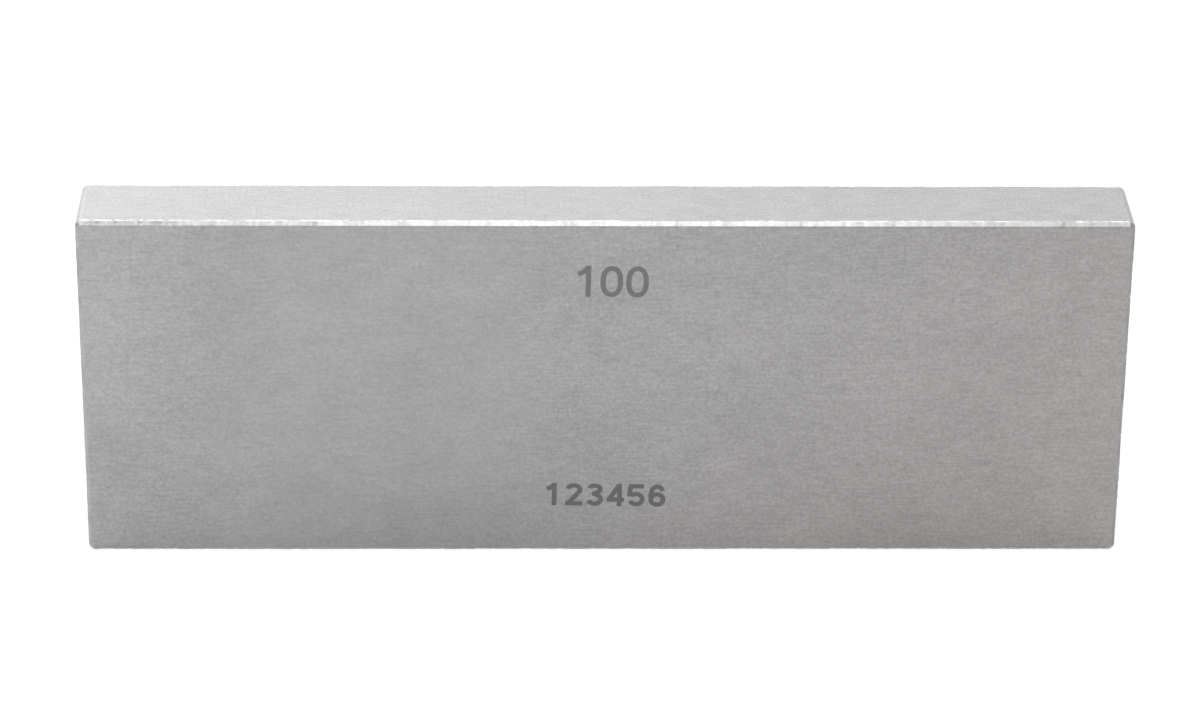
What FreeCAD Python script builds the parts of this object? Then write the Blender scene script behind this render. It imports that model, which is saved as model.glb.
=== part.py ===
# A rectangular gauge block: one solid bar of hardened steel. Its two end faces are lapped flat and
# parallel, and the distance between them is the length that the block stands for. The two broad
# sides and the two narrow sides are fine ground.
#
# Frame, in millimetres: +X runs along the measured length, +Z is up, and -Y is the broad side that
# carries the size mark. The origin is the centre of the narrow side that the block stands on.

import FreeCAD, Part
import math
import os

# Driving dimensions.
MEASURED_LENGTH = 100.0  # from one lapped end face to the other
SECTION_WIDTH = 35.0  # height of the section as the block stands
SECTION_THICKNESS = 9.0  # from one broad side to the other
EDGE_BREAK = 0.35  # leg of the 45-degree break round each broad side
BROAD_CORNER_RADIUS = 0.30  # corner radius left on the flat of a broad side, inside its edge break

# The corner in the block's outline goes round the broad side's own corner at an even distance, so
# that the edge break has the same width all the way round.
OUTLINE_CORNER_RADIUS = BROAD_CORNER_RADIUS + EDGE_BREAK

ON_PLANE = 1e-6  # how near a broad side's plane an edge lies to count as its border

UP = FreeCAD.Vector(0, 0, 1)
ALONG = FreeCAD.Vector(1, 0, 0)
THROUGH = FreeCAD.Vector(0, 1, 0)


def corner_arc(centre, radius, start_degrees):
    """A quarter circle about centre in the XZ plane, from start_degrees anticlockwise."""
    points = []
    for turn in (0, 45, 90):
        angle = math.radians(start_degrees + turn)
        points.append(centre + ALONG * radius * math.cos(angle) + UP * radius * math.sin(angle))
    return Part.Arc(*points).toShape()


def outline(y):
    """The block's outline as a closed wire in the plane at y: a rectangle with rounded corners."""
    half_straight = MEASURED_LENGTH / 2 - OUTLINE_CORNER_RADIUS
    low = OUTLINE_CORNER_RADIUS
    high = SECTION_WIDTH - OUTLINE_CORNER_RADIUS
    corners = (
        (half_straight, high, 0),
        (-half_straight, high, 90),
        (-half_straight, low, 180),
        (half_straight, low, 270),
    )
    arcs = []
    for x, z, start_degrees in corners:
        arcs.append(corner_arc(FreeCAD.Vector(x, y, z), OUTLINE_CORNER_RADIUS, start_degrees))
    edges = []
    for arc, next_arc in zip(arcs, arcs[1:] + arcs[:1]):
        edges.append(arc)
        edges.append(Part.LineSegment(arc.lastVertex().Point, next_arc.firstVertex().Point).toShape())
    return Part.Wire(edges)


def bar():
    """The block before its edges are broken: the outline carried from one broad side to the other."""
    front = Part.Face(outline(-SECTION_THICKNESS / 2))
    return front.extrude(THROUGH * SECTION_THICKNESS)


def broad_side_borders(solid):
    """The edges round the two broad sides."""
    borders = []
    for edge in solid.Edges:
        box = edge.BoundBox
        off_plane = max(abs(abs(y) - SECTION_THICKNESS / 2) for y in (box.YMin, box.YMax))
        if off_plane < ON_PLANE:
            borders.append(edge)
    return borders


def gauge_block():
    """The finished block, with the border of each broad side broken at 45 degrees."""
    solid = bar()
    return solid.makeChamfer(EDGE_BREAK, broad_side_borders(solid))


def main():
    """Writes the block as one STEP file."""
    os.makedirs("parts", exist_ok=True)
    block = gauge_block()
    print("solids", len(block.Solids), "valid", block.isValid(), "volume", round(block.Volume, 3), "mm3")
    block.exportStep("parts/gauge_block.step")


main()
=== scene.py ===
"""The finished look of a rectangular gauge block: ground and lapped steel with two numbers marked on it.

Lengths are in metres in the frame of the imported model: +X along the measured length, +Z up, and -Y out of
the broad side that carries the numbers. A small size is written as its millimetres times MM.
"""

import logging
import math
from dataclasses import dataclass
from enum import Enum
from typing import Any

import bpy
from mathutils import Matrix, Vector


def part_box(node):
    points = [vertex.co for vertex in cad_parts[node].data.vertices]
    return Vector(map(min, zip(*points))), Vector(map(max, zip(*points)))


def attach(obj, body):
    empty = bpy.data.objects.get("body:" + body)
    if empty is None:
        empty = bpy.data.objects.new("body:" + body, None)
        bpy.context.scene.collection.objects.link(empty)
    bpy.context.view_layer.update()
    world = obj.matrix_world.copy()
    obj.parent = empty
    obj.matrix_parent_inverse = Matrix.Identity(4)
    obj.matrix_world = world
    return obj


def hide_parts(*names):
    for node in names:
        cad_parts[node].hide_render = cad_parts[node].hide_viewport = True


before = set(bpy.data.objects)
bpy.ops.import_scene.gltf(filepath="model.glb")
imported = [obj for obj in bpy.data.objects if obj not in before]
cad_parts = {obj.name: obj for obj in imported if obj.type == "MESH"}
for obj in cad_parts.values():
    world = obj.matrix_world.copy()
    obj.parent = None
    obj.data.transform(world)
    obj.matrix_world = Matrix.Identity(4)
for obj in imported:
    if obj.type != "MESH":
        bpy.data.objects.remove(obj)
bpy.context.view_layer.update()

MM = 0.001
WELD = 0.0001 * MM  # points nearer than this are the same point
NODE = "gauge_block"
BODY = "root"
EXPOSED = "exposed"  # 1 on the points of the broken edges, which wear
NICK_DEPTH = "grime"  # how deep in a nick each point is, from 0 to 1; it also sets the painted shade in the nicks
FINISH = "finish"  # the number of each face's finish

Colour = tuple[float, float, float]
Point = tuple[float, float]
Point3 = tuple[float, float, float]
Input = Any  # what an input socket takes: a wire, or a plain value

log = logging.getLogger("gauge_block")


# ---- Node trees


@dataclass(frozen=True)
class Wire:
    """What a node gives out. Sums, products and comparisons with it add nodes, and are wires as well."""

    graph: "NodeGraph"
    socket: bpy.types.NodeSocket

    def __add__(self, other: Input) -> "Wire":
        """This number and another."""
        return self.graph.math("ADD", self, other)

    def __radd__(self, other: float) -> "Wire":
        """A plain number and this one."""
        return self.graph.math("ADD", other, self)

    def __sub__(self, other: Input) -> "Wire":
        """This number less another."""
        return self.graph.math("SUBTRACT", self, other)

    def __mul__(self, other: Input) -> "Wire":
        """This number times another."""
        return self.graph.math("MULTIPLY", self, other)

    def __neg__(self) -> "Wire":
        """This number with its sign changed."""
        return self * -1.0

    def __gt__(self, other: Input) -> "Wire":
        """True where this number is greater, in a geometry tree."""
        return self.graph.above(self, other)

    def __lt__(self, other: Input) -> "Wire":
        """True where this number is smaller, in a geometry tree."""
        return self.graph.above(other, self)


class NodeGraph:
    """A node tree while it is being put together."""

    def __init__(self, tree: bpy.types.NodeTree) -> None:
        """Args:
            tree: the tree that the nodes go into.
        """
        self.tree = tree

    def feed(self, socket: bpy.types.NodeSocket, value: Input) -> None:
        """Links a wire to an input socket, or sets the socket's own value.

        Args:
            socket: the input socket.
            value: a wire to link, or a plain value.
        """
        if isinstance(value, Wire):
            self.tree.links.new(value.socket, socket)
        else:
            socket.default_value = value

    def add(self, kind: str, inputs: dict[str | int, Input] | None = None, **settings: Any) -> bpy.types.Node:
        """Adds a node.

        Args:
            kind: the node type's identifier.
            inputs: wires or values by the input socket's name or number.
            settings: the node's own properties.

        Returns:
            The new node.
        """
        node = self.tree.nodes.new(kind)
        for name, value in settings.items():
            setattr(node, name, value)
        for key, value in (inputs or {}).items():
            self.feed(node.inputs[key], value)
        return node

    def made(
        self, kind: str, inputs: dict[str | int, Input] | None = None, output: str | int = 0, **settings: Any
    ) -> Wire:
        """Adds a node, as add does, and gives its output of a name or number."""
        return Wire(self, self.add(kind, inputs, **settings).outputs[output])

    def math(self, operation: str, a: Input, b: Input = 0.0, c: Input = 0.0) -> Wire:
        """A Math node's result, of one number, two or three."""
        return self.made("ShaderNodeMath", {0: a, 1: b, 2: c}, operation=operation)

    def vector(self, operation: str, a: Input, b: Input = (0.0, 0.0, 0.0)) -> Wire:
        """A Vector Math node's vector result, of one vector or of two."""
        return self.made("ShaderNodeVectorMath", {0: a, 1: b}, "Vector", operation=operation)

    def scaled(self, vector: Input, factor: Input) -> Wire:
        """A vector times a number."""
        return self.made("ShaderNodeVectorMath", {0: vector, "Scale": factor}, "Vector", operation="SCALE")

    def dot(self, a: Input, b: Input) -> Wire:
        """The dot product of two vectors."""
        return self.made("ShaderNodeVectorMath", {0: a, 1: b}, "Value", operation="DOT_PRODUCT")

    def parts(self, vector: Input) -> tuple[Wire, Wire, Wire]:
        """The X, Y and Z of a vector, as three wires."""
        x, y, z = self.add("ShaderNodeSeparateXYZ", {0: vector}).outputs
        return Wire(self, x), Wire(self, y), Wire(self, z)

    def joined(self, x: Input, y: Input, z: Input) -> Wire:
        """A vector made of three numbers."""
        return self.made("ShaderNodeCombineXYZ", {0: x, 1: y, 2: z})

    def ramp(self, value: Input, start: Input, end: Input, low: Input = 0.0, high: Input = 1.0) -> Wire:
        """A number carried smoothly from start and end to low and high, and held at its ends."""
        inputs = {"Value": value, "From Min": start, "From Max": end, "To Min": low, "To Max": high}
        return self.made("ShaderNodeMapRange", inputs, interpolation_type="SMOOTHSTEP")

    def noise(self, place: Input, scale: float, detail: float = 2.0, roughness: float = 0.5) -> Wire:
        """Cloudy noise from 0 to 1, with scale features to a unit of place and detail finer layers."""
        inputs = {"Vector": place, "Scale": scale, "Detail": detail, "Roughness": roughness}
        return self.made("ShaderNodeTexNoise", inputs)

    def rays(self) -> tuple[Wire, Wire, Wire]:
        """Tells what kind of ray is traced.

        Returns:
            1 on rays from the camera, 1 on those from a reflection, and 1 on those through something clear.
        """
        outputs = self.add("ShaderNodeLightPath").outputs
        names = ("Is Camera Ray", "Is Glossy Ray", "Is Transmission Ray")
        camera, glossy, through_glass = (Wire(self, outputs[name]) for name in names)
        return camera, glossy, through_glass

    def cells(self, place: Input, scale: float) -> tuple[Wire, Wire]:
        """The distance to the nearest of some scattered points, and that point's own random number."""
        node = self.add("ShaderNodeTexVoronoi", {"Vector": place, "Scale": scale})
        return Wire(self, node.outputs["Distance"]), self.parts(Wire(self, node.outputs["Color"]))[0]


class GeometryGraph(NodeGraph):
    """A Geometry Nodes tree with named inputs, run once to give a plain mesh."""

    def __init__(self, name: str) -> None:
        """Args:
            name: the tree's name.
        """
        super().__init__(bpy.data.node_groups.new(name, "GeometryNodeTree"))
        self.tree.interface.new_socket("Geometry", in_out="OUTPUT", socket_type="NodeSocketGeometry")
        self.source = self.tree.nodes.new("NodeGroupInput")
        self.result = self.tree.nodes.new("NodeGroupOutput")
        self.values: dict[str, Any] = {}

    def take(self, name: str, value: Any, kind: str = "NodeSocketFloat") -> Wire:
        """Adds a named input to the tree.

        Args:
            name: what the input is called.
            value: what the input is set to when the tree is run.
            kind: the input's socket type.

        Returns:
            The wire that carries the input inside the tree.
        """
        socket = self.tree.interface.new_socket(name, in_out="INPUT", socket_type=kind)
        self.values[socket.identifier] = value
        return Wire(self, self.source.outputs[name])

    def sampled(self, geometry: Input, value: Input, index: Input) -> Wire:
        """A vector field read from another geometry, at the point with a number."""
        inputs = {"Geometry": geometry, "Value": value, "Index": index}
        return self.made("GeometryNodeSampleIndex", inputs, data_type="FLOAT_VECTOR", domain="POINT")

    def whole(self, operation: str, a: Input, b: Input) -> Wire:
        """An Integer Math node's result, of two whole numbers."""
        return self.made("FunctionNodeIntegerMath", {0: a, 1: b}, operation=operation)

    def chosen(self, condition: Input, yes: Input, no: Input, kind: str = "FLOAT") -> Wire:
        """One of two values, by a condition."""
        inputs = {"Switch": condition, "True": yes, "False": no}
        return self.made("GeometryNodeSwitch", inputs, input_type=kind)

    def both(self, a: Input, b: Input) -> Wire:
        """True where two conditions hold."""
        return self.made("FunctionNodeBooleanMath", {0: a, 1: b}, operation="AND")

    def above(self, a: Input, b: Input) -> Wire:
        """True where a is greater than b."""
        return self.made("FunctionNodeCompare", {0: a, 1: b}, operation="GREATER_THAN")

    def joined_geometry(self, *parts: Input) -> Wire:
        """Joins geometries.

        Args:
            parts: the geometries.

        Returns:
            The geometries as one.
        """
        node = self.add("GeometryNodeJoinGeometry")
        for part in parts:
            self.feed(node.inputs[0], part)
        return Wire(self, node.outputs[0])

    def stored(self, geometry: Input, name: str, value: Input, domain: str) -> Wire:
        """A geometry with a number stored on its points or its faces."""
        inputs = {"Geometry": geometry, "Name": name, "Value": value}
        return self.made("GeometryNodeStoreNamedAttribute", inputs, domain=domain)

    def named(self, name: str) -> Wire:
        """A stored number, read by its name."""
        return self.made("GeometryNodeInputNamedAttribute", {"Name": name}, "Attribute")

    def position(self) -> Wire:
        """Where each point is."""
        return self.made("GeometryNodeInputPosition")

    def normal(self) -> Wire:
        """Which way each point or face looks."""
        return self.made("GeometryNodeInputNormal")

    def rectangle(self, width: Input, height: Input) -> Wire:
        """A rectangle about the origin, as a curve."""
        return self.made("GeometryNodeCurvePrimitiveQuadrilateral", {"Width": width, "Height": height})

    def rounded(self, curve: Input, count: int, radius: Input, limited: bool = False) -> Wire:
        """A curve whose corners are rounded, with count points to each of them."""
        inputs = {"Curve": curve, "Count": count, "Radius": radius, "Limit Radius": limited}
        return self.made("GeometryNodeFilletCurve", inputs, mode="POLY")

    def moved(self, geometry: Input, by: Input) -> Wire:
        """A geometry moved as a whole."""
        return self.made("GeometryNodeTransform", {0: geometry, "Translation": by})

    def turned(self, geometry: Input, by: Input) -> Wire:
        """A geometry turned as a whole, by angles about X, Y and Z."""
        return self.made("GeometryNodeTransform", {0: geometry, "Rotation": by})

    def placed(self, geometry: Input, position: Input) -> Wire:
        """A geometry with each point put at a position of its own."""
        return self.made("GeometryNodeSetPosition", {0: geometry, "Position": position})

    def shifted(self, geometry: Input, offset: Input) -> Wire:
        """A geometry with each point moved by an offset of its own."""
        return self.made("GeometryNodeSetPosition", {0: geometry, "Offset": offset})

    def filled(self, curve: Input) -> Wire:
        """A closed curve filled with faces."""
        return self.made("GeometryNodeFillCurve", {0: curve}, mode="NGONS")

    def flipped(self, mesh: Input) -> Wire:
        """A mesh turned inside out."""
        return self.made("GeometryNodeFlipFaces", {0: mesh})

    def welded(self, mesh: Input) -> Wire:
        """A mesh whose points that lie together are made one."""
        return self.made("GeometryNodeMergeByDistance", {0: mesh, "Distance": WELD})

    def count(self, curve: Input) -> Wire:
        """How many points a curve has."""
        return self.made("GeometryNodeAttributeDomainSize", {0: curve}, component="CURVE")

    def carve(self, operation: str, **meshes: Input) -> Wire:
        """An exact Boolean of meshes that may cross themselves.

        Args:
            operation: the operation's identifier.
            meshes: the meshes by their socket's name, with a space for its underscore.

        Returns:
            The mesh that is left.
        """
        inputs = {name.replace("_", " "): mesh for name, mesh in meshes.items()}
        inputs["Self Intersection"] = True
        return self.made("GeometryNodeMeshBoolean", inputs, operation=operation, solver="EXACT")

    def grow(self, name: str, geometry: Input) -> bpy.types.Object:
        """Ends the tree with a geometry, runs it, and makes a plain mesh object of what it gives.

        Args:
            name: the object's name.
            geometry: the finished geometry.

        Returns:
            The new object, with no modifier.
        """
        self.feed(self.result.inputs[0], geometry)
        carrier = bpy.data.objects.new(name + "_carrier", bpy.data.meshes.new(name + "_carrier"))
        bpy.context.scene.collection.objects.link(carrier)
        modifier = carrier.modifiers.new("grow", "NODES")
        modifier.node_group = self.tree
        for identifier, value in self.values.items():
            modifier[identifier] = value
        carrier.update_tag()
        depsgraph = bpy.context.evaluated_depsgraph_get()
        mesh = bpy.data.meshes.new_from_object(carrier.evaluated_get(depsgraph), depsgraph=depsgraph)
        carrier.modifiers.remove(modifier)
        bpy.data.objects.remove(carrier)
        mesh.name = name
        while mesh.materials and mesh.materials[0] is None:
            mesh.materials.pop(index=0)
        grown = bpy.data.objects.new(name, mesh)
        bpy.context.scene.collection.objects.link(grown)
        return grown


@dataclass(frozen=True)
class Grain:
    """A texture of cloudy noise that runs along X."""

    along: float  # features to a millimetre along X
    across: float  # features to a millimetre across X
    detail: float = 2.0  # how many finer layers are added
    roughness: float = 0.5  # how strong they are


class ShaderGraph(NodeGraph):
    """A material's node tree, built round one Principled shader."""

    def __init__(self, name: str) -> None:
        """Args:
            name: the material's name.
        """
        self.material = bpy.data.materials.new(name)
        self.material.use_nodes = True
        super().__init__(self.material.node_tree)
        self.tree.nodes.clear()
        self.shader = self.add("ShaderNodeBsdfPrincipled")
        self.add("ShaderNodeOutputMaterial", {"Surface": Wire(self, self.shader.outputs[0])})
        self.place = self.scaled(self.made("ShaderNodeTexCoord", output="Object"), 1 / MM)

    def grained(self, grain: Grain) -> Wire:
        """A grain's noise on the surface, from 0 to 1."""
        place = self.vector("MULTIPLY", self.place, (grain.along, grain.across, grain.across))
        return self.noise(place, 1.0, grain.detail, grain.roughness)

    def swing(self, value: Input, amount: float) -> Wire:
        """Noise from 0 to 1 as a swing of amount to each side of nought."""
        return (value - 0.5) * (2 * amount)

    def blended(self, factor: Input, a: Colour, b: Colour) -> Wire:
        """One colour carried into another, or beyond it where the factor is over 1."""
        inputs = {0: factor, 6: (*a, 1.0), 7: (*b, 1.0)}
        return self.made("ShaderNodeMix", inputs, 2, data_type="RGBA", clamp_factor=False)

    def dress(self, colour: Input, metallic: float, roughness: Input, height: Input, relief: float) -> None:
        """Wires the shader.

        Args:
            colour: the base colour.
            metallic: how metallic the surface is.
            roughness: the roughness.
            height: the surface's relief, from 0 to 1.
            relief: how tall that relief is.
        """
        bump = self.made("ShaderNodeBump", {"Height": height, "Distance": relief, "Strength": 1.0})
        self.feed(self.shader.inputs["Base Color"], colour)
        self.feed(self.shader.inputs["Metallic"], metallic)
        self.feed(self.shader.inputs["Roughness"], roughness)
        self.feed(self.shader.inputs["Normal"], bump)


# ---- Finishes


class Steel:
    """A finish of steel. Each kind has a name, and wires its own material."""

    name: str

    def make(self) -> bpy.types.Material:
        """Builds the material.

        Returns:
            The material.
        """
        graph = ShaderGraph(self.name)
        self.wire(graph)
        return graph.material

    def wire(self, graph: ShaderGraph) -> None:
        """Wires the material's shader, in a way that each kind gives."""
        raise NotImplementedError


@dataclass(frozen=True)
class GroundSteel(Steel):
    """Steel from a surface grinder: short fine scratches along X, over faint clouds of handling."""

    CLOUDS = Grain(0.07, 0.10, 3.0, 0.55)
    PATCHES = Grain(0.35, 0.6, 4.0, 0.6)
    SCRATCHES = Grain(0.42, 4.2, 2.0, 0.6)
    SPECKLES = Grain(3.2, 3.4, 1.0, 0.6)
    GLINTS = Grain(0.7, 8.0, 1.0)
    FILM = Grain(1.6, 2.2, 2.0, 0.7)
    TINTS = Grain(0.05, 0.08, 2.0)

    name: str
    cool: Colour
    warm: Colour
    cloud: float = 0.10  # how far the clouds lighten and darken it
    scratch: float = 0.14  # how far the scratches do
    speckle: float = 0.19  # how far the finest grain does
    glint: float = 0.07  # painted glints: how much lighter the few bright scratches are made
    film: float = 1.6  # how far the film of old oil swings its tint
    corner_sheen: float = 0.0  # painted sheen: how much lighter the top-left corner is made, towards the light
    smooth: float = 0.0  # how much weaker its texture is along the stretch that is wiped most
    wiped: float = 22.0  # how far towards -X the middle of that stretch is, in mm
    warm_end: bool = False  # whether the film of old oil towards +X is on it
    roughness: float = 0.36
    relief: float = 0.0015 * MM

    def wire(self, graph: ShaderGraph) -> None:
        """Wires the material's shader.

        Args:
            graph: the material's tree.
        """
        clouds = graph.grained(self.CLOUDS)
        patches = graph.grained(self.PATCHES)
        scratches = graph.grained(self.SCRATCHES)
        speckles = graph.grained(self.SPECKLES)
        # painted glints: a few scratches made lighter, as where they catch the light
        glints = graph.ramp(graph.grained(self.GLINTS), 0.58, 0.74, 0.0, self.glint)
        film = graph.swing(graph.grained(self.FILM), self.film)
        x, _, z = graph.parts(graph.place)
        texture = graph.swing(scratches, self.scratch) + graph.swing(speckles, self.speckle) + glints
        from_wiped = graph.math("ABSOLUTE", x + self.wiped)
        texture = texture * graph.ramp(from_wiped, 9.0, 20.0, 1.0 - self.smooth, 1.0)
        handling = 1.0 + graph.swing(clouds, self.cloud) + graph.swing(patches, self.cloud * 0.8)
        brightness = handling + texture
        if self.warm_end:
            slant = x + z * -0.8 + graph.swing(clouds, 16.0)
            warmth = graph.ramp(slant, -45.0, 40.0)
            # painted sheen: the top-left corner made lighter, on the side the light comes from
            corner = graph.ramp(x + z * -0.45, -48.0, -60.0, 0.0, self.corner_sheen)
            brightness = brightness + corner
        else:
            warmth = graph.ramp(graph.grained(self.TINTS), 0.3, 0.7)
        colour = graph.scaled(graph.blended(warmth + film, self.cool, self.warm), brightness)
        roughness = self.roughness + graph.swing(patches, 0.04) + graph.swing(scratches, 0.04)
        height = scratches * 0.7 + speckles * 0.3
        graph.dress(colour, 1.0, roughness, height, self.relief)


@dataclass(frozen=True)
class LappedSteel(Steel):
    """A measuring face: lapped to a mirror, with a faint haze and hairlines that run every way."""

    TURNS = (20, 75, 130)  # which ways the hairlines run, in degrees from +Y

    name: str
    colour: Colour
    roughness: float = 0.09
    relief: float = 0.00005 * MM

    def lines(self, graph: ShaderGraph, turn: int) -> Wire:
        """Long thin streaks of noise on the face, running one way.

        Args:
            graph: the material's tree.
            turn: which way they run, in degrees from +Y.

        Returns:
            The noise, from 0 to 1.
        """
        angle = math.radians(turn)
        along = graph.dot(graph.place, (0.0, math.cos(angle), math.sin(angle)))
        across = graph.dot(graph.place, (0.0, -math.sin(angle), math.cos(angle)))
        return graph.noise(graph.joined(along * 0.12, across, turn), 5.0, 2.0)

    def wire(self, graph: ShaderGraph) -> None:
        """Wires the material's shader.

        Args:
            graph: the material's tree.
        """
        haze = graph.noise(graph.place, 0.22, 3.0, 0.6)
        first, second, third = (self.lines(graph, turn) for turn in self.TURNS)
        strongest = graph.math("MAXIMUM", first, graph.math("MAXIMUM", second, third))
        hairlines = graph.ramp(strongest, 0.66, 0.8)
        brightness = 1.0 + graph.swing(haze, 0.03) + hairlines * -0.03
        roughness = self.roughness + graph.swing(haze, 0.03) + hairlines * 0.05
        colour = graph.scaled(self.colour, brightness)
        graph.dress(colour, 1.0, roughness, -hairlines, self.relief)


@dataclass(frozen=True)
class StonedEdge(Steel):
    """An edge broken by hand with a stone: brighter than the sides, partly as painted light, in uneven
    strokes.
    """

    STROKES = Grain(0.9, 0.5, 3.0, 0.65)
    GRIT = Grain(3.0, 4.0, 2.0, 0.6)

    name: str
    colour: Colour
    dull: float = 0.16  # how much darker the uneven stretches are
    highlight_falloff: float = 0.0  # painted shade: how much darker the upper long edges are towards their ends, where their highlight falls off
    highlight_peak: float = 3.0  # where along X their painted highlight is brightest, in mm
    floor_reflection: float = 0.0  # painted reflection: how much lighter the lower edges are, where they mirror the floor
    right_shade: float = 0.0  # painted shade: how much darker it is towards +X, away from the light
    grime: float = 0.95  # painted shade: how much darker it is in its nicks
    roughness: float = 0.3
    relief: float = 0.002 * MM

    def wire(self, graph: ShaderGraph) -> None:
        """Wires the material's shader.

        Args:
            graph: the material's tree.
        """
        strokes = graph.ramp(graph.grained(self.STROKES), 0.42, 0.72)
        grit = graph.grained(self.GRIT)
        x, _, z = graph.parts(graph.place)
        # painted shade on the upper long edges, darker away from the brightest stretch of their highlight
        from_highlight_peak = graph.math("ABSOLUTE", x - self.highlight_peak)
        end = graph.ramp(from_highlight_peak, 5.0, 46.0, 0.0, self.highlight_falloff)
        end = end * graph.ramp(z, 8.0, 30.0)
        # painted reflection of the floor: lighter on the lower edges
        base = graph.ramp(z, 2.0, 8.0, self.floor_reflection, 0.0)
        # painted shade: darker towards +X, the side away from the light
        painted_right_shade = graph.ramp(x, 0.0, 40.0, 0.0, self.right_shade)
        # painted shade in the nicks, as deep as each nick
        nicked = graph.made("ShaderNodeAttribute", output="Fac", attribute_name=NICK_DEPTH)
        # the stones' uneven strokes, with the painted shade added: at the upper edges' ends, towards +X and
        # in the nicks
        dull = strokes * self.dull + end + painted_right_shade + nicked * self.grime
        brightness = 1.0 + base - dull + graph.swing(grit, 0.14)
        roughness = self.roughness + strokes * 0.1 + graph.swing(grit, 0.05)
        graph.dress(graph.scaled(self.colour, brightness), 1.0, roughness, grit, self.relief)


@dataclass(frozen=True)
class MarkedSteel(Steel):
    """Steel darkened by a marking laser: a dull oxide in fine overlapping lines."""

    MOTTLES = Grain(1.6, 1.6, 3.0, 0.6)
    SPECKLES = Grain(5.0, 8.0, 2.0, 0.6)

    name: str
    colour: Colour
    line: float = 0.07  # from one of the laser's lines to the next, in mm
    metallic: float = 0.55
    roughness: float = 0.55
    relief: float = 0.001 * MM

    def wire(self, graph: ShaderGraph) -> None:
        """Wires the material's shader.

        Args:
            graph: the material's tree.
        """
        mottles = graph.grained(self.MOTTLES)
        speckles = graph.grained(self.SPECKLES)
        _, _, z = graph.parts(graph.place)
        raster = graph.math("SINE", z * (2 * math.pi / self.line))
        lines = raster * 0.04
        brightness = 1.0 + graph.swing(mottles, 0.22) + graph.swing(speckles, 0.16) + lines
        roughness = self.roughness + graph.swing(mottles, 0.08)
        height = raster * 0.3 + speckles
        graph.dress(graph.scaled(self.colour, brightness), self.metallic, roughness, height, self.relief)


class Finish(Enum):
    """The block's finishes. Each value is the number stored on the faces that have it, and its recipe."""

    # BROAD and NARROW are one ground steel, and LONG_EDGE and END_EDGE one stoned edge; their different
    # colours are partly painted light from the lamp above
    BROAD = (0, GroundSteel(
        "broad_ground_steel", (0.3275, 0.325, 0.3285), (0.315, 0.304, 0.2992),
        cloud=0.125, scratch=0.165, speckle=0.225, glint=0.085, corner_sheen=0.09, smooth=0.32, warm_end=True,
    ))
    NARROW = (1, GroundSteel(
        "narrow_ground_steel", (0.513, 0.510, 0.523), (0.511, 0.508, 0.515), scratch=0.19, speckle=0.26,
    ))
    LAPPED = (2, LappedSteel("lapped_steel", (0.56, 0.56, 0.565)))
    CORNER = (3, StonedEdge("rounded_corner_steel", (0.50, 0.50, 0.50), dull=0.08, roughness=0.42))
    LONG_EDGE = (4, StonedEdge(
        "stoned_long_edge", (0.466, 0.466, 0.466), dull=0.12, highlight_falloff=0.31, floor_reflection=0.16,
    ))
    END_EDGE = (5, StonedEdge("stoned_end_edge", (0.365, 0.365, 0.365), right_shade=0.23))
    MARK = (6, MarkedSteel("laser_marked_steel", (0.180, 0.178, 0.176)))
    FINE_MARK = (7, MarkedSteel("fine_laser_marked_steel", (0.146, 0.144, 0.142)))

    @property
    def number(self) -> int:
        """The number stored on the faces that have this finish."""
        return self.value[0]

    def make(self) -> bpy.types.Material:
        """This finish's material, built when it is first wanted."""
        return bpy.data.materials.get(self.value[1].name) or self.value[1].make()


# ---- Numbers


@dataclass(frozen=True)
class Stroke:
    """One pass of the marking head, as the points along its middle, closed if it ends where it began."""

    points: tuple[Point, ...]
    closed: bool = False


def arc(centre: Point, radii: Point, start: float, end: float, squareness: float = 2.0) -> tuple[Point, ...]:
    """Points along an ellipse, or along a squarer form of one.

    Args:
        centre: its centre.
        radii: its half width and half height.
        start: where it starts, in degrees anticlockwise from the right.
        end: where it ends, in degrees.
        squareness: 2 for an ellipse, and more for one with fuller corners.

    Returns:
        The points, in order.
    """
    steps = max(4, round(abs(end - start) / 6))
    points = []
    for step in range(steps + 1):
        angle = math.radians(start + (end - start) * step / steps)
        c, s = math.cos(angle), math.sin(angle)
        x = math.copysign(abs(c) ** (2 / squareness), c)
        y = math.copysign(abs(s) ** (2 / squareness), s)
        points.append((centre[0] + radii[0] * x, centre[1] + radii[1] * y))
    return tuple(points)


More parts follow.
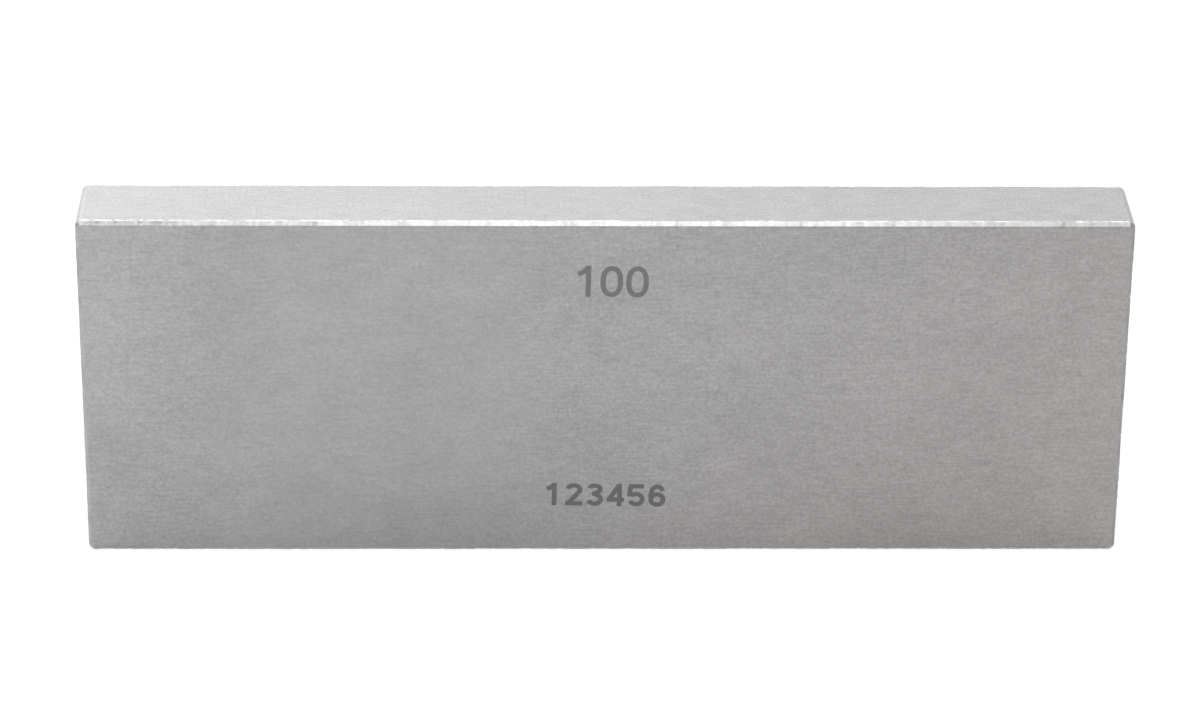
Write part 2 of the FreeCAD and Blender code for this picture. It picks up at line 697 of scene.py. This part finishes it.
@dataclass(frozen=True)
class DigitPen:
    """Draws digits that are one unit tall, with strokes of an even weight."""

    weight: float  # the strokes' width
    width: float  # a round digit's width

    @property
    def half(self) -> float:
        """Half of a stroke's width."""
        return self.weight / 2

    @property
    def middle(self) -> float:
        """Halfway across a digit."""
        return self.width / 2

    @property
    def reach(self) -> float:
        """From the middle to the centre line of a round digit's side."""
        return self.middle - self.half

    def zero(self) -> list[Stroke]:
        """A tall closed round."""
        ring = arc((self.middle, 0.5), (self.reach, 0.5 - self.half), 0, 360, 2.35)
        return [Stroke(ring[:-1], closed=True)]

    def one(self) -> list[Stroke]:
        """A stem with a flag and no foot.

        Returns:
            The strokes.
        """
        stem = self.width * 0.72 - self.half
        tip = (self.width * 0.142, 0.72)
        shoulder = (stem - self.half * 0.3, 1 - self.half * 1.05)
        bend = ((tip[0] + shoulder[0]) / 2 + 0.02, (tip[1] + shoulder[1]) / 2 - 0.025)
        return [Stroke(((stem, 0.0), (stem, 1.0))), Stroke((tip, bend, shoulder))]

    def two(self) -> list[Stroke]:
        """A bowl that runs down into a slant, over a base.

        Returns:
            The strokes.
        """
        bowl = arc((self.middle, 0.71), (self.reach, 0.29 - self.half), 172, -38)
        foot = (self.half * 1.3, self.half)
        return [Stroke((*bowl, foot)), Stroke(((0.0, self.half), (self.width, self.half)))]

    def three(self) -> list[Stroke]:
        """Two bowls that meet at a short bar.

        Returns:
            The strokes.
        """
        upper = arc((self.middle, 0.745), (self.reach * 0.9, 0.255 - self.half), 165, -85)
        lower = arc((self.middle, 0.295), (self.reach, 0.295 - self.half * 0.98), 85, -165)
        bar = 0.5 * (upper[-1][1] + lower[0][1])
        return [Stroke(upper), Stroke(lower), Stroke(((self.middle * 0.7, bar), (self.middle * 1.1, bar)))]

    def four(self) -> list[Stroke]:
        """A slant and a bar across a stem.

        Returns:
            The strokes.
        """
        stem = self.width * 0.74
        bar = 0.29
        foot = (self.half * 1.1, bar + self.half * 0.3)
        peak = (stem - self.half * 0.35, 1 - self.half * 0.8)
        across = Stroke(((0.0, bar), (self.width * 1.02, bar)))
        return [Stroke(((stem, 0.0), (stem, 1.0))), across, Stroke((foot, peak))]

    def five(self) -> list[Stroke]:
        """A bar and a short stem over an open bowl.

        Returns:
            The strokes.
        """
        bowl = arc((self.middle, 0.325), (self.reach, 0.325 - self.half), 142, -160)
        left = self.width * 0.17
        bar = Stroke(((left - self.half * 0.6, 1 - self.half), (self.width * 0.95, 1 - self.half)))
        stem = Stroke(((left, 1 - self.half), (self.width * 0.11, 0.44)))
        return [bar, stem, Stroke(bowl)]

    def six(self) -> list[Stroke]:
        """A closed lower bowl with a back that curls over it.

        Returns:
            The strokes.
        """
        bowl = arc((self.middle, 0.325), (self.reach, 0.325 - self.half), 0, 360, 2.1)
        back = arc((self.middle, 0.5), (self.reach, 0.5 - self.half), 200, 28, 2.2)
        return [Stroke(bowl[:-1], closed=True), Stroke(back)]

    def draw(self, digit: str) -> list[Stroke]:
        """The strokes of one digit, from 0 to 6."""
        digits = (self.zero, self.one, self.two, self.three, self.four, self.five, self.six)
        return digits[int(digit)]()


@dataclass(frozen=True)
class NumberMark:
    """A number marked on the broad side: a shallow groove with a dark oxide on its floor."""

    name: str
    text: str
    centre: Point  # along X, and up from the side that the block stands on
    height: float
    weight: float  # the strokes' width, as a share of the height
    width: float  # a round digit's width, as a share of the height
    pitch: float  # from one digit to the next, as a share of the height
    finish: Finish = Finish.MARK
    tilt: float = -1.0  # degrees anticlockwise
    oxide: float = 0.006 * MM  # how far the oxide's surface lies below the steel's
    overlap: float = 0.002 * MM  # how far the oxide reaches into the groove's walls and floor

    def strokes(self) -> list[Stroke]:
        """Places the number's strokes on the broad side.

        Returns:
            The strokes, with X along the block and Y up.
        """
        pen = DigitPen(self.weight, self.width)
        span = self.pitch * (len(self.text) - 1) + self.width
        turn = Matrix.Rotation(math.radians(self.tilt), 2)
        placed = []
        for place, digit in enumerate(self.text):
            for stroke in pen.draw(digit):
                points = []
                for x, y in stroke.points:
                    flat = turn @ Vector((x + self.pitch * place - span / 2, y - 0.5)) * self.height
                    points.append((self.centre[0] + flat.x, self.centre[1] + flat.y))
                placed.append(Stroke(tuple(points), stroke.closed))
        return placed

    def path(self) -> bpy.types.Object:
        """Makes one curve of the strokes, for a tree to sweep.

        Returns:
            The curve's object.
        """
        curve = bpy.data.curves.new(self.name + "_path", "CURVE")
        curve.dimensions = "3D"
        for stroke in self.strokes():
            spline = curve.splines.new("POLY")
            spline.points.add(len(stroke.points) - 1)
            for point, (x, y) in zip(spline.points, stroke.points):
                point.co = (x, y, 0.0, 1.0)
            spline.use_cyclic_u = stroke.closed
        path = bpy.data.objects.new(self.name + "_path", curve)
        bpy.context.scene.collection.objects.link(path)
        return path

    def swept(self, graph: GeometryGraph, path: Input, top: Input, bottom: Input, spare: float = 0.0) -> Wire:
        """The strokes swept as flat bars.

        Args:
            graph: the tree that the sweep goes into.
            path: the strokes' curve.
            top: the height of the bars' tops.
            bottom: the height of their undersides.
            spare: how much wider than the strokes the bars are.

        Returns:
            The bars, one closed solid to a stroke, which overlap where the strokes cross.
        """
        upright = graph.made("GeometryNodeSetCurveNormal", {0: path}, mode="Z_UP")
        wide = self.weight * self.height + spare
        inputs = {"Curve": upright, "Profile Curve": graph.rectangle(1.0, 1.0), "Scale": wide}
        swept = graph.made("GeometryNodeCurveToMesh", inputs | {"Fill Caps": True})
        x, y, z = graph.parts(graph.position())
        return graph.placed(swept, graph.joined(x, y, graph.chosen(z > 0.0, top, bottom)))

    def build(self, block: "GaugeBlock") -> bpy.types.Object:
        """Makes the oxide layer in the groove's floor.

        Args:
            block: the block that carries the number.

        Returns:
            The layer's object.
        """
        path = self.path()
        graph = GeometryGraph(self.name)
        strokes = graph.take("Strokes", path, "NodeSocketObject")
        face = graph.take("Face", block.thickness / 2)
        top = face - graph.take("Oxide Depth", self.oxide)
        bottom = face - (graph.take("Groove Depth", block.groove) + self.overlap)
        curve = graph.made("GeometryNodeObjectInfo", {"Object": strokes}, "Geometry")
        layer = graph.carve("UNION", Mesh_2=self.swept(graph, curve, top, bottom, self.overlap))
        layer = graph.turned(layer, block.stand)
        layer = graph.made("GeometryNodeSetShadeSmooth", {0: layer, "Shade Smooth": False})
        layer = graph.made("GeometryNodeRealizeInstances", {0: layer})
        material = graph.take("Material", self.finish.make(), "NodeSocketMaterial")
        grown = graph.grow(self.name, graph.made("GeometryNodeSetMaterial", {0: layer, "Material": material}))
        bpy.data.objects.remove(path)
        return grown


SIZE_MARK = NumberMark(
    name="size_mark", text="100", centre=(0.563 * MM, 28.90 * MM), height=3.23 * MM,
    weight=0.157, width=0.668, pitch=0.755,
)
NUMBER_MARK = NumberMark(
    name="number_mark", text="123456", centre=(0.14 * MM, 6.15 * MM), height=2.44 * MM,
    weight=0.196, width=0.68, pitch=0.827, finish=Finish.FINE_MARK,
)


# ---- The block


class BlockGraph(GeometryGraph):
    """The tree of the block's own steel, in which Y runs up and Z out of the marked broad side."""

    def __init__(self, block: "GaugeBlock") -> None:
        """Args:
            block: the block's sizes and wear.
        """
        super().__init__("gauge_block_body")
        self.block = block
        self.length = self.take("Length", block.length)
        self.width = self.take("Width", block.width)
        self.half_thickness = self.take("Thickness", block.thickness) * 0.5
        self.leg = self.take("Edge Break", block.edge_break)
        self.border = self.take("Border", block.border)
        self.middle = self.joined(0.0, self.width * 0.5, 0.0)
        self.outline = self.round_outline()
        self.outward = self.away_from_outline()

    def round_outline(self) -> Wire:
        """The block's outline: a rectangle with rounded corners, standing on the X axis, in even steps.

        Returns:
            The closed curve.
        """
        placed = self.moved(self.rectangle(self.length, self.width), self.middle)
        radius = self.take("Corner Radius", self.block.corner)
        rounded = self.rounded(placed, self.block.corner_points, radius, limited=True)
        even = {"Curve": rounded, "Length": self.take("Step", self.block.step)}
        return self.made("GeometryNodeResampleCurve", even, mode="LENGTH")

    def away_from_outline(self) -> Wire:
        """The outline's outward direction, whichever way round its points run.

        Returns:
            The direction, read on the outline.
        """
        side = self.vector("CROSS_PRODUCT", self.made("GeometryNodeInputTangent"), (0.0, 0.0, 1.0))
        away = self.vector("SUBTRACT", self.position(), self.middle)
        return self.scaled(side, self.math("SIGN", self.dot(side, away)))

    def section(self) -> Wire:
        """One broken edge in section, with X the inset from the outline and Y the depth below the broad side.

        Returns:
            The open run of points as a curve.
        """
        inner = self.leg + self.border
        index = self.made("GeometryNodeInputIndex")
        corners = {
            "Point 1": self.joined(inner, 0.0, 0.0),
            "Point 2": self.joined(self.leg, 0.0, 0.0),
            "Point 3": self.joined(0.0, self.leg, 0.0),
            "Point 4": self.joined(0.0, inner, 0.0),
        }
        bent = self.made("GeometryNodeCurvePrimitiveQuadrilateral", corners, mode="POINTS")
        between = self.both(index > 0, index < 3)
        radius = self.chosen(between, self.take("Arris Radius", self.block.arris), 0.0)
        return self.rounded(bent, self.block.arris_points, radius)

    def band(self) -> Wire:
        """The block's narrow sides, ends and broken edges: the section swept round the outline.

        It starts as a grid, with a column for each step round the outline and a row for each point of the
        section, from the front edge's section to the back edge's, which is its mirror image.

        Returns:
            The band, open at its two rims, with its broken edges marked as exposed.
        """
        section = self.section()
        around = self.count(self.outline)
        across = self.count(section)
        rows = self.whole("MULTIPLY", across, 2)
        columns = self.whole("ADD", around, 1)
        grid = self.made("GeometryNodeMeshGrid", {"Vertices X": columns, "Vertices Y": rows})
        index = self.made("GeometryNodeInputIndex")
        column = self.whole("MODULO", self.whole("DIVIDE_FLOOR", index, rows), around)
        row = self.whole("MODULO", index, rows)
        front = across > (row + 0.5)
        mirrored = self.whole("SUBTRACT", self.whole("SUBTRACT", rows, 1), row)
        place = self.chosen(front, row, mirrored, "INT")
        inset, depth, _ = self.parts(self.sampled(section, self.position(), place))
        on_outline = self.sampled(self.outline, self.position(), column)
        away = self.sampled(self.outline, self.outward, column)
        level = self.half_thickness - depth
        level = self.joined(0.0, 0.0, self.chosen(front, level, -level))
        swept = self.vector("ADD", self.vector("ADD", on_outline, self.scaled(away, -inset)), level)
        edge = self.both(place > 0, place < self.whole("SUBTRACT", across, 1))
        grid = self.stored(grid, EXPOSED, self.chosen(edge, 1.0, 0.0), "POINT")
        return self.flipped(self.placed(grid, swept))

    def rim(self) -> Wire:
        """The outline of a broad side, where the band ends."""
        return self.shifted(self.outline, self.scaled(self.outward, -(self.leg + self.border)))

    def back_side(self) -> Wire:
        """The broad side with no numbers on it."""
        return self.flipped(self.moved(self.filled(self.rim()), self.joined(0.0, 0.0, -self.half_thickness)))

    def front_side(self, paths: list[bpy.types.Object]) -> Wire:
        """The marked broad side, with a groove for each stroke of the numbers.

        The grooves are cut in a panel in the middle of the side, and the rest of the side is filled round it.

        Args:
            paths: the strokes of each of the block's numbers.

        Returns:
            The side in its place, open at its rim.
        """
        block = self.block
        face = self.half_thickness
        shape = self.rectangle(block.panel_length, self.width * block.panel_share)
        panel = self.moved(shape, self.middle)
        ring = self.filled(self.joined_geometry(self.rim(), panel))
        ring = self.moved(ring, self.joined(0.0, 0.0, face))
        lowered = self.moved(self.filled(panel), self.joined(0.0, 0.0, face - block.slab))
        up = {0: lowered, "Offset": (0.0, 0.0, 1.0), "Offset Scale": block.slab, "Individual": False}
        raised = self.made("GeometryNodeExtrudeMesh", up, mode="FACES")
        closed = self.welded(self.joined_geometry(raised, self.flipped(lowered)))
        depth = self.take("Groove Depth", block.groove)
        bars = []
        for mark, path in zip(block.marks, paths):
            strokes = self.take(mark.name.capitalize().replace("_", " "), path, "NodeSocketObject")
            curve = self.made("GeometryNodeObjectInfo", {"Object": strokes}, "Geometry")
            bars.append(mark.swept(self, curve, face + block.clearance, face - depth))
        cut = self.carve("DIFFERENCE", Mesh_1=closed, Mesh_2=self.joined_geometry(*bars))
        _, _, height = self.parts(self.position())
        spare = (face - depth * 2.0) > height
        cut = self.made("GeometryNodeDeleteGeometry", {0: cut, "Selection": spare}, domain="FACE")
        return self.joined_geometry(ring, cut)

    def finish_number(self) -> Wire:
        """The number of each face's finish, by which way the face looks.

        Returns:
            The number, read on faces.
        """
        flat = self.block.flat
        along, up, through = self.parts(self.vector("ABSOLUTE", self.normal()))
        edge = self.chosen((up * 2.0) > along, Finish.LONG_EDGE.number, Finish.END_EDGE.number)
        end = self.chosen(along > flat, Finish.LAPPED.number, Finish.CORNER.number)
        side = self.chosen(up > flat, Finish.NARROW.number, end)
        edge = self.chosen(through < 0.2, side, edge)
        return self.chosen(through > 0.985, Finish.BROAD.number, edge)

    def seeded_place(self) -> Wire:
        """The point in millimetres, moved by the seed so that each seed gives its own wear."""
        seed = self.take("Seed", self.block.seed, "NodeSocketInt") * self.block.seed_step
        return self.vector("ADD", self.scaled(self.position(), 1 / MM), self.joined(seed, seed, seed))

    def wear(self) -> Wire:
        """How far the broken edges have worn in, point by point.

        Returns:
            The depth.
        """
        place = self.seeded_place()
        wander = self.ramp(self.noise(place, 0.16), 0.35, 0.65, 0.0, self.take("Wander", self.block.wander))
        ragged = self.take("Ragged", self.block.ragged)
        ragged = self.ramp(self.noise(place, 1.6, 3.0), 0.42, 0.75, 0.0, ragged)
        distance, size = self.cells(place, 0.3)
        deepest = self.take("Chip", self.block.chip) * size
        return wander + ragged + self.ramp(distance, 0.0, size * 0.12, deepest, 0.0)

    def nicks(self) -> Wire:
        """How deep the row of nicks is along the upper edge beside one corner.

        Returns:
            The share of the deepest, from 0 to 1.
        """
        worst = self.joined(self.length * self.block.worst, self.width, self.half_thickness)
        apart = self.vector("MULTIPLY", self.vector("SUBTRACT", self.position(), worst), (1.0, 6.0, 6.0))
        near = self.ramp(self.math("SQRT", self.dot(apart, apart)), 3.0 * MM, 5.6 * MM, 1.0, 0.0)
        upper = self.ramp(self.dot(self.normal(), (0.0, 1.0, -1.0)), -0.1, 0.4)
        bitten = self.ramp(self.noise(self.seeded_place(), 1.7, 2.0), 0.45, 0.6)
        return bitten * (near * upper)

    def worn(self, solid: Wire) -> Wire:
        """The block with its broken edges worn in, most of all in the row of nicks.

        Args:
            solid: the block.

        Returns:
            The block, worn.
        """
        solid = self.stored(solid, NICK_DEPTH, self.named(EXPOSED) * self.nicks(), "POINT")
        nicked = self.named(NICK_DEPTH) * self.take("Nick", self.block.nick)
        wear = self.math("MULTIPLY_ADD", self.named(EXPOSED), self.wear(), nicked)
        return self.shifted(solid, self.scaled(self.normal(), -wear))

    def shaded(self, solid: Wire) -> Wire:
        """The block with its edges and corners smooth, its sides flat, and every crease sharp.

        Args:
            solid: the block.

        Returns:
            The block, with its shading set.
        """
        worn = self.named(EXPOSED) > 0.1
        rounded = self.named(FINISH) > (Finish.CORNER.number - 0.5)
        smooth = self.made("FunctionNodeBooleanMath", {0: worn, 1: rounded}, operation="OR")
        solid = self.made("GeometryNodeSetShadeSmooth", {0: solid, "Shade Smooth": smooth}, domain="FACE")
        angle = self.made("GeometryNodeInputMeshEdgeAngle", output="Unsigned Angle")
        inputs = {0: solid, "Selection": angle > self.block.crease, "Shade Smooth": False}
        return self.made("GeometryNodeSetShadeSmooth", inputs, domain="EDGE")

    def finished(self, solid: Wire) -> Wire:
        """The block with its materials, each on the faces with its own number.

        Args:
            solid: the block.

        Returns:
            The block, with its materials.
        """
        for finish in Finish:
            if finish.number <= Finish.END_EDGE.number:
                material = self.take(finish.name.capitalize(), finish.make(), "NodeSocketMaterial")
                from_it_on = self.named(FINISH) > (finish.number - 0.5)
                inputs = {0: solid, "Material": material, "Selection": from_it_on}
                solid = self.made("GeometryNodeSetMaterial", inputs)
        return solid


@dataclass
class GaugeBlock:
    """The block: an outline swept round the section's broken edges, with its numbers let in."""

    marks: tuple[NumberMark, ...]
    edge_break: float = 0.35 * MM  # leg of the break round each broad side
    corner: float = 0.65 * MM  # radius of the outline's corners
    arris: float = 0.05 * MM  # radius left on the break's two sharp edges
    border: float = 0.2 * MM  # strip of flat side that is swept with each edge
    step: float = 0.085 * MM  # distance between sections round the outline
    wander: float = 0.035 * MM  # how far the break's width strays
    ragged: float = 0.045 * MM  # how deep its fine raggedness is
    chip: float = 0.045 * MM  # how deep the handling chips are
    nick: float = 0.14 * MM  # how deep the row of nicks beside one corner is
    worst: float = -0.447  # where along X that row's middle is, as a share of the length
    groove: float = 0.03 * MM  # depth of the numbers' grooves
    panel_length: float = 20.0 * MM  # length of the panel in the front side's middle that they are cut in
    panel_share: float = 0.9  # its height, as a share of the block's
    slab: float = 1.0 * MM  # how thick the panel is while they are cut
    clearance: float = 0.1 * MM  # how far the bars that cut them stand out
    corner_points: int = 16  # points round one of the outline's corners, before it is put in even steps
    arris_points: int = 3
    flat: float = 0.999  # how squarely a face of a narrow side or an end looks out of it
    crease: float = math.radians(9.5)  # an edge bent by more than this is sharp
    seed: int = 7
    seed_step: float = 31.7  # how far apart, in mm, two seeds read the noise

    def __post_init__(self) -> None:
        """Takes the block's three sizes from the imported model."""
        low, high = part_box(NODE)
        self.length, self.thickness, self.width = high - low
        self.stand = (math.pi / 2, 0.0, 0.0)  # turns the outline's plane upright

    def build(self) -> bpy.types.Object:
        """Makes the block's own steel, with its numbers' grooves in it.

        Returns:
            The block's object.
        """
        graph = BlockGraph(self)
        paths = [mark.path() for mark in self.marks]
        solid = graph.welded(graph.joined_geometry(graph.band(), graph.front_side(paths), graph.back_side()))
        solid = graph.stored(solid, FINISH, graph.finish_number(), "FACE")
        solid = graph.turned(graph.shaded(graph.worn(solid)), self.stand)
        solid = graph.made("GeometryNodeRealizeInstances", {0: solid})
        body = graph.grow("steel_block", graph.finished(solid))
        for path in paths:
            bpy.data.objects.remove(path)
        return body

    def lay_out(self, body: bpy.types.Object) -> None:
        """Gives the block a map in which its six sides lie flat on one sheet, each in its own place.

        Args:
            body: the block's object.
        """
        gap = 1.5 * MM
        sheet = 2 * self.width + 3 * self.thickness + 6 * gap
        left = self.length / 2 + (sheet - self.length) / 2
        rows = {"front": gap, "back": self.width + 2 * gap}
        rows["top"] = rows["back"] + self.width + gap + self.thickness / 2
        rows["base"] = rows["top"] + self.thickness + gap
        rows["ends"] = rows["base"] + self.thickness + gap
        layer = body.data.uv_layers.new(name="OFBake")
        places = [0.0] * (2 * len(body.data.loops))
        vertices = body.data.vertices
        loops = body.data.loops
        for face in body.data.polygons:
            normal = face.normal
            for index in face.loop_indices:
                x, y, z = vertices[loops[index].vertex_index].co
                if abs(normal.y) >= max(abs(normal.x), abs(normal.z)) * 0.99:
                    u, v = (left + x, rows["front"] + z) if normal.y < 0 else (left - x, rows["back"] + z)
                elif abs(normal.z) > abs(normal.x):
                    u, v = (left + x, rows["top"] + y) if normal.z > 0 else (left + x, rows["base"] - y)
                else:
                    start = gap + (0.0 if normal.x < 0 else self.width + gap)
                    u, v = start + z, rows["ends"] + (y if normal.x > 0 else -y)
                places[2 * index] = u / sheet
                places[2 * index + 1] = v / sheet
        layer.data.foreach_set("uv", places)


# ---- The studio


@dataclass(frozen=True)
class Camera:
    """Where the camera stands: round a target on the block, with a small offset and roll."""

    target: Point3 = (0.0, 0.0, 17.5 * MM)
    azimuth: float = -1.31  # degrees, from looking along +Y
    elevation: float = 25.69  # degrees above the horizon
    roll: float = 0.611  # degrees
    distance: float = 434.3 * MM
    right: float = -0.385 * MM
    up: float = 1.795 * MM
    lens: float = 134.74  # millimetres, on a 36 mm sensor

    def build(self) -> None:
        """Makes the camera and gives it to the scene."""
        a, e, r = (math.radians(turn) for turn in (self.azimuth, self.elevation, self.roll))
        back = Vector((math.sin(a) * math.cos(e), -math.cos(a) * math.cos(e), math.sin(e)))
        right = Vector((math.cos(a), math.sin(a), 0.0))
        up = back.cross(right)
        place = Vector(self.target) + back * self.distance + right * self.right + up * self.up
        level = Matrix((right, up, back)).transposed()
        turn = level @ Matrix.Rotation(r, 3, "Z")
        data = bpy.data.cameras.new("camera")
        data.lens = self.lens
        data.sensor_width = 36.0
        data.clip_start = 0.01
        camera = bpy.data.objects.new("camera", data)
        camera.matrix_world = Matrix.Translation(place) @ turn.to_4x4()
        bpy.context.scene.collection.objects.link(camera)
        bpy.context.scene.camera = camera


@dataclass(frozen=True)
class Studio:
    """A pale floor in a plain bright surround, under one broad soft lamp."""

    floor_size: float = 4.0
    lamp_centre: Point3 = (-0.25, 0.12, 0.90)
    lamp_size: Point = (1.5, 1.5)
    lamp_radiance: float = 1.45
    surround: float = 0.5  # how strongly the surround lights what is under it
    paleness: float = 0.85  # the floor's own colour, as a light bounces off it
    shade_seen: float = 0.2  # how much of its lit colour the floor keeps where it is seen
    glow_seen: float = 0.87  # how much it glows there
    shade_mirrored: float = 0.95  # how much of its lit colour it keeps in metal
    glow_mirrored: float = 0.16  # how much it glows there
    window: Point = (0.84, 1.52)  # the surround's brightness in metal, towards +X and at its window
    beside: float = 0.33  # how much dimmer it is again beyond the window

    def build(self) -> None:
        """Makes the surround, the lamp and the floor."""
        bpy.context.scene.view_settings.view_transform = "Standard"
        self.build_surround()
        self.build_lamp()
        self.build_floor()

    def build_surround(self) -> None:
        """Makes the world: white where it is seen, dimmer as a light, and in metal brighter towards -X."""
        world = bpy.data.worlds.new("surround")
        world.use_nodes = True
        graph = NodeGraph(world.node_tree)
        graph.tree.nodes.clear()
        camera, glossy, through_glass = graph.rays()
        seen = graph.math("MAXIMUM", graph.math("MAXIMUM", camera, glossy), through_glass)
        strength = graph.math("MULTIPLY_ADD", seen, 1.0 - self.surround, self.surround)
        side, _, _ = graph.parts(graph.made("ShaderNodeTexCoord", output="Generated"))
        tint = graph.ramp(side, 0.12, -0.22, *self.window)
        tint = tint - graph.ramp(side, -0.32, -0.6, 0.0, self.beside)
        strength = strength + (tint - 1.0) * glossy
        background = graph.made("ShaderNodeBackground", {"Color": (1.0, 1.0, 1.0, 1.0), "Strength": strength})
        graph.add("ShaderNodeOutputWorld", {"Surface": background})
        bpy.context.scene.world = world

    def build_lamp(self) -> None:
        """Makes the lamp, face down over the block."""
        data = bpy.data.lights.new("softbox", "AREA")
        data.shape = "RECTANGLE"
        data.size, data.size_y = self.lamp_size
        data.energy = self.lamp_radiance * math.pi * data.size * data.size_y
        lamp = bpy.data.objects.new("softbox", data)
        lamp.location = self.lamp_centre
        bpy.context.scene.collection.objects.link(lamp)

    def build_floor(self) -> None:
        """Makes the floor: white, with the block's own shade kept on it."""
        half = self.floor_size / 2
        corners = [(half * x, half * y, 0.0) for x, y in ((-1, -1), (1, -1), (1, 1), (-1, 1))]
        mesh = bpy.data.meshes.new("floor")
        mesh.from_pydata(corners, [], [(0, 1, 2, 3)])
        material = bpy.data.materials.new("pale_floor")
        material.use_nodes = True
        graph = NodeGraph(material.node_tree)
        graph.tree.nodes.clear()
        camera, glossy, through_glass = graph.rays()
        mirrored = graph.math("MAXIMUM", glossy, through_glass)
        seen = graph.math("MAXIMUM", camera, mirrored)
        share = graph.math("MULTIPLY_ADD", mirrored, self.shade_mirrored - self.shade_seen, self.shade_seen)
        lit = graph.math("MULTIPLY_ADD", seen, share - self.paleness, self.paleness)
        glow = graph.math("MULTIPLY_ADD", mirrored, self.glow_mirrored - self.glow_seen, self.glow_seen)
        glow = seen * glow
        diffuse = graph.made("ShaderNodeBsdfDiffuse", {"Color": graph.joined(lit, lit, lit)})
        emission = graph.made("ShaderNodeEmission", {"Strength": glow})
        both = graph.made("ShaderNodeAddShader", {0: diffuse, 1: emission})
        graph.add("ShaderNodeOutputMaterial", {"Surface": both})
        mesh.materials.append(material)
        floor = bpy.data.objects.new("floor", mesh)
        bpy.context.scene.collection.objects.link(floor)


def report(piece: bpy.types.Object) -> None:
    """Hands a piece to the frame and reports it.

    Args:
        piece: the finished piece.
    """
    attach(piece, BODY)
    triangles = sum(len(face.vertices) - 2 for face in piece.data.polygons)
    log.info("%s: %d triangles, finishes %s", piece.name, triangles, [m.name for m in piece.data.materials])


def main() -> None:
    """Builds the block, its numbers and the studio, in order."""
    logging.basicConfig(level=logging.INFO, format="%(message)s")
    block = GaugeBlock(marks=(SIZE_MARK, NUMBER_MARK))
    body = block.build()
    block.lay_out(body)
    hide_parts(NODE)
    report(body)
    for mark in block.marks:
        report(mark.build(block))
    Studio().build()
    Camera().build()


if __name__ == "__main__":
    main()
